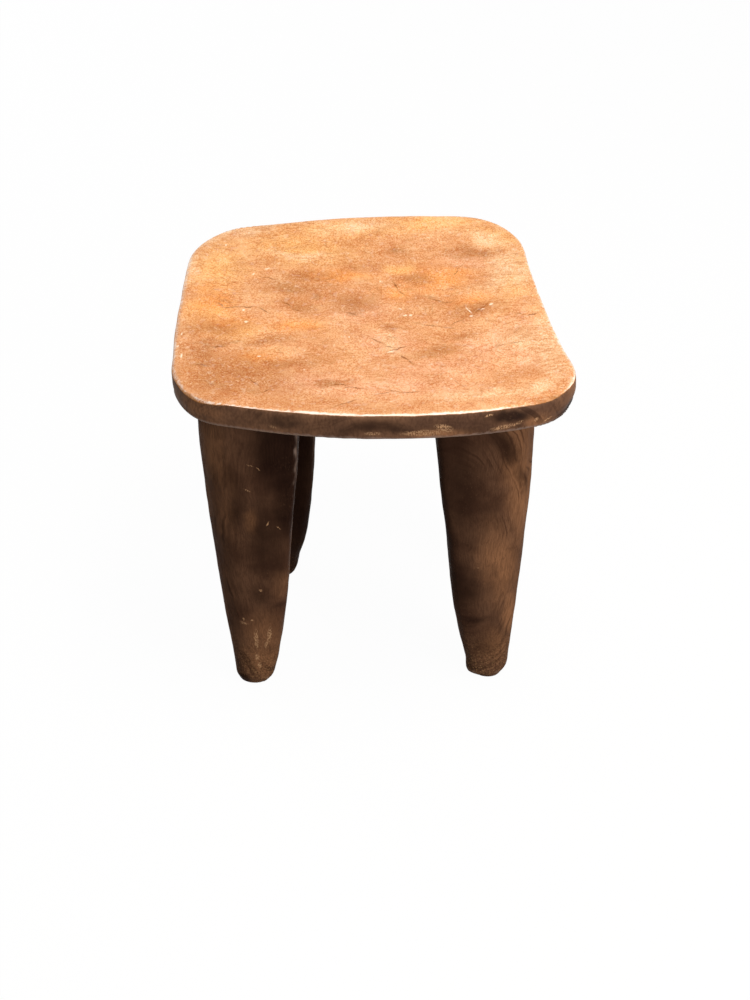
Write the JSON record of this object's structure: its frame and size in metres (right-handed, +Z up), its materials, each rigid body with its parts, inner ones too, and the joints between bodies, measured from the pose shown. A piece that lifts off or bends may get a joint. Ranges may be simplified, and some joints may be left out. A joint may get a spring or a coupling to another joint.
{
  "type": "stool",
  "caption": "Low hand-carved wooden stool with a shallow dished seat, a worn rounded rim and tapered legs with rounded feet.",
  "frame": {"origin": "on the floor, under the middle of the seat's outline", "axes": "+Z up, +Y from the front of the seat to the back, +X to the right seen from the front"},
  "size_m": [0.3592, 0.3428, 0.372],
  "materials": {
    "seat_wood": "worn and polished by use, golden brown on top, dark brown on the edge",
    "leg_wood": "dark handled patina, satin"
  },
  "bodies": {
    "root": {"seat": "seat_wood", "front_left_leg": "leg_wood", "front_right_leg": "leg_wood", "back_left_leg": "leg_wood", "back_right_leg": "leg_wood"}
  },
  "joints": []
}
